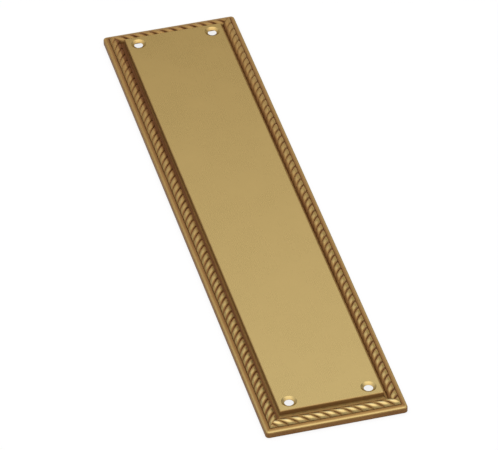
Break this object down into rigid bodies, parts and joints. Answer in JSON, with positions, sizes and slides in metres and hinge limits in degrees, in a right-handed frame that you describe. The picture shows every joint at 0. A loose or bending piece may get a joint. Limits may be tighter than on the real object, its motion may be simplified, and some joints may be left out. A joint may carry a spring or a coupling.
{
  "type": "door finger plate",
  "caption": "Long rectangular brass door finger plate with a rope-twist border, a raised flat panel, a hollow back and countersunk screw holes near the panel's corners.",
  "frame": {"origin": "middle of the flat back, where the plate meets the door", "axes": "+Y along the length, up the door; +X across the width; +Z out of the door, through the raised panel"},
  "size_m": [0.065, 0.3, 0.0066],
  "materials": {
    "brass": "satin polished cast brass, darker in the grooves"
  },
  "bodies": {
    "root": {"finger_plate": "brass"}
  },
  "joints": []
}
